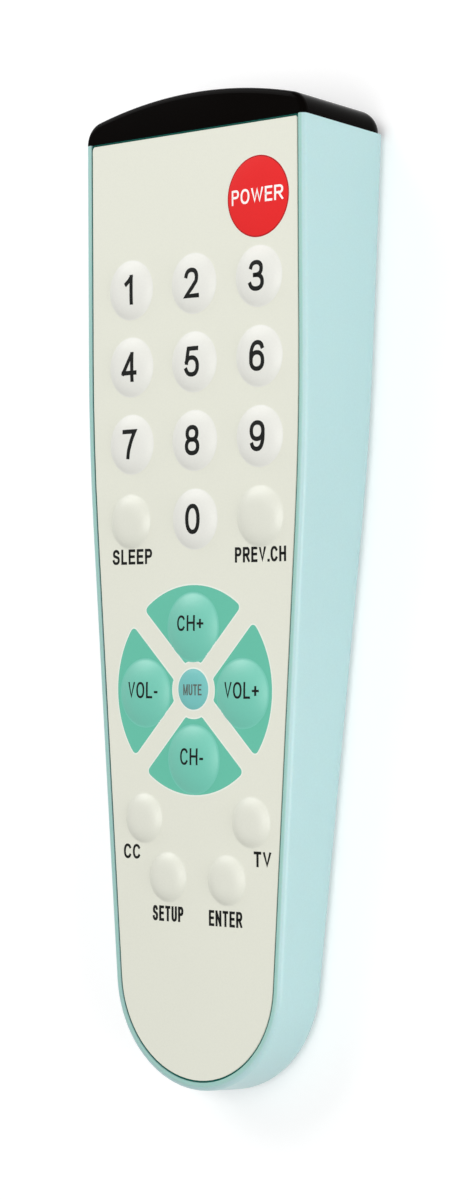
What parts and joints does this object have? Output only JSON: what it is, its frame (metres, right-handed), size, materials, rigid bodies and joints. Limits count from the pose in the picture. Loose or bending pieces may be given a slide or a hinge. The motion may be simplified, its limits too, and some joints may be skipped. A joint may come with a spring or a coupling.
{
  "type": "tv remote control",
  "caption": "Hand-held television remote with a wedge-shaped round-tailed case, large domed keys on a flush panel, a dark infrared window and a screwed battery door.",
  "frame": {"origin": "middle of the bounding box, on the flat back that the remote lies on", "axes": "+Z out of the back towards the keys, +Y along the length to the infrared window, +X to the right as the keys are read"},
  "size_m": [0.057, 0.19, 0.0245],
  "materials": {
    "case_blue": "fine satin texture",
    "panel_cream": "satin film",
    "window_black": "polished, dark to the eye",
    "power_red": "satin film",
    "key_white": "satin film",
    "key_teal": "satin film",
    "mat_rubber": "matt",
    "board_green": "solder mask",
    "chip_black": "matt",
    "resonator_steel": "satin",
    "capacitor_can": "sleeved can",
    "emitter_tint": "tinted clear resin",
    "battery_label": "printed sleeve on a metal can",
    "contact_metal": "nickel plated",
    "gasket_foam": "closed foam",
    "screw_steel": "zinc plated"
  },
  "bodies": {
    "case": {"rear_case": "case_blue", "key_panel": "panel_cream", "infrared_window": "window_black", "key_mat": "mat_rubber", "circuit_board": "board_green", "controller_chip": "chip_black", "resonator": "resonator_steel", "capacitor": "capacitor_can", "emitter_left": "emitter_tint", "emitter_right": "emitter_tint", "battery_left": "battery_label", "battery_right": "battery_label", "contact_positive": "contact_metal", "contact_negative": "contact_metal", "contact_bridge": "contact_metal", "contact_spring_left": "contact_metal", "contact_spring_right": "contact_metal", "case_screw_upper_left": "screw_steel", "case_screw_upper_right": "screw_steel", "case_screw_lower_left": "screw_steel", "case_screw_lower_right": "screw_steel", "case_screw_tail": "screw_steel"},
    "battery_door": {"battery_door": "case_blue", "door_gasket": "gasket_foam", "door_screw_tail": "screw_steel", "door_screw_head": "screw_steel"},
    "power_key": {"power_key": "power_red"},
    "digit_0_key": {"digit_0_key": "key_white"},
    "digit_1_key": {"digit_1_key": "key_white"},
    "digit_2_key": {"digit_2_key": "key_white"},
    "digit_3_key": {"digit_3_key": "key_white"},
    "digit_4_key": {"digit_4_key": "key_white"},
    "digit_5_key": {"digit_5_key": "key_white"},
    "digit_6_key": {"digit_6_key": "key_white"},
    "digit_7_key": {"digit_7_key": "key_white"},
    "digit_8_key": {"digit_8_key": "key_white"},
    "digit_9_key": {"digit_9_key": "key_white"},
    "sleep_key": {"sleep_key": "key_white"},
    "previous_channel_key": {"previous_channel_key": "key_white"},
    "channel_up_key": {"channel_up_key": "key_teal"},
    "channel_down_key": {"channel_down_key": "key_teal"},
    "volume_down_key": {"volume_down_key": "key_teal"},
    "volume_up_key": {"volume_up_key": "key_teal"},
    "mute_key": {"mute_key": "key_teal"},
    "captions_key": {"captions_key": "key_white"},
    "source_key": {"source_key": "key_white"},
    "setup_key": {"setup_key": "key_white"},
    "enter_key": {"enter_key": "key_white"}
  },
  "joints": [
    {"name": "power_press", "type": "slide", "parent": "case", "child": "power_key", "axis": [0, 0.068, -0.9977], "range_m": [0, 0.0007], "stiffness_N_per_m": 600, "springref_m": -0.0002},
    {"name": "digit_0_press", "type": "slide", "parent": "case", "child": "digit_0_key", "axis": [0, 0.068, -0.9977], "range_m": [0, 0.0007], "stiffness_N_per_m": 600, "springref_m": -0.0002},
    {"name": "digit_1_press", "type": "slide", "parent": "case", "child": "digit_1_key", "axis": [0, 0.068, -0.9977], "range_m": [0, 0.0007], "stiffness_N_per_m": 600, "springref_m": -0.0002},
    {"name": "digit_2_press", "type": "slide", "parent": "case", "child": "digit_2_key", "axis": [0, 0.068, -0.9977], "range_m": [0, 0.0007], "stiffness_N_per_m": 600, "springref_m": -0.0002},
    {"name": "digit_3_press", "type": "slide", "parent": "case", "child": "digit_3_key", "axis": [0, 0.068, -0.9977], "range_m": [0, 0.0007], "stiffness_N_per_m": 600, "springref_m": -0.0002},
    {"name": "digit_4_press", "type": "slide", "parent": "case", "child": "digit_4_key", "axis": [0, 0.068, -0.9977], "range_m": [0, 0.0007], "stiffness_N_per_m": 600, "springref_m": -0.0002},
    {"name": "digit_5_press", "type": "slide", "parent": "case", "child": "digit_5_key", "axis": [0, 0.068, -0.9977], "range_m": [0, 0.0007], "stiffness_N_per_m": 600, "springref_m": -0.0002},
    {"name": "digit_6_press", "type": "slide", "parent": "case", "child": "digit_6_key", "axis": [0, 0.068, -0.9977], "range_m": [0, 0.0007], "stiffness_N_per_m": 600, "springref_m": -0.0002},
    {"name": "digit_7_press", "type": "slide", "parent": "case", "child": "digit_7_key", "axis": [0, 0.068, -0.9977], "range_m": [0, 0.0007], "stiffness_N_per_m": 600, "springref_m": -0.0002},
    {"name": "digit_8_press", "type": "slide", "parent": "case", "child": "digit_8_key", "axis": [0, 0.068, -0.9977], "range_m": [0, 0.0007], "stiffness_N_per_m": 600, "springref_m": -0.0002},
    {"name": "digit_9_press", "type": "slide", "parent": "case", "child": "digit_9_key", "axis": [0, 0.068, -0.9977], "range_m": [0, 0.0007], "stiffness_N_per_m": 600, "springref_m": -0.0002},
    {"name": "sleep_press", "type": "slide", "parent": "case", "child": "sleep_key", "axis": [0, 0.068, -0.9977], "range_m": [0, 0.0007], "stiffness_N_per_m": 600, "springref_m": -0.0002},
    {"name": "previous_channel_press", "type": "slide", "parent": "case", "child": "previous_channel_key", "axis": [0, 0.068, -0.9977], "range_m": [0, 0.0007], "stiffness_N_per_m": 600, "springref_m": -0.0002},
    {"name": "channel_up_press", "type": "slide", "parent": "case", "child": "channel_up_key", "axis": [0, 0.068, -0.9977], "range_m": [0, 0.0007], "stiffness_N_per_m": 600, "springref_m": -0.0002},
    {"name": "channel_down_press", "type": "slide", "parent": "case", "child": "channel_down_key", "axis": [0, 0.068, -0.9977], "range_m": [0, 0.0007], "stiffness_N_per_m": 600, "springref_m": -0.0002},
    {"name": "volume_down_press", "type": "slide", "parent": "case", "child": "volume_down_key", "axis": [0, 0.068, -0.9977], "range_m": [0, 0.0007], "stiffness_N_per_m": 600, "springref_m": -0.0002},
    {"name": "volume_up_press", "type": "slide", "parent": "case", "child": "volume_up_key", "axis": [0, 0.068, -0.9977], "range_m": [0, 0.0007], "stiffness_N_per_m": 600, "springref_m": -0.0002},
    {"name": "mute_press", "type": "slide", "parent": "case", "child": "mute_key", "axis": [0, 0.068, -0.9977], "range_m": [0, 0.0007], "stiffness_N_per_m": 600, "springref_m": -0.0002},
    {"name": "captions_press", "type": "slide", "parent": "case", "child": "captions_key", "axis": [0, 0.068, -0.9977], "range_m": [0, 0.0007], "stiffness_N_per_m": 600, "springref_m": -0.0002},
    {"name": "source_press", "type": "slide", "parent": "case", "child": "source_key", "axis": [0, 0.068, -0.9977], "range_m": [0, 0.0007], "stiffness_N_per_m": 600, "springref_m": -0.0002},
    {"name": "setup_press", "type": "slide", "parent": "case", "child": "setup_key", "axis": [0, 0.068, -0.9977], "range_m": [0, 0.0007], "stiffness_N_per_m": 600, "springref_m": -0.0002},
    {"name": "enter_press", "type": "slide", "parent": "case", "child": "enter_key", "axis": [0, 0.068, -0.9977], "range_m": [0, 0.0007], "stiffness_N_per_m": 600, "springref_m": -0.0002},
    {"name": "battery_door_lift", "type": "slide", "parent": "case", "child": "battery_door", "axis": [0, 0, -1], "range_m": [0, 0.015]}
  ]
}
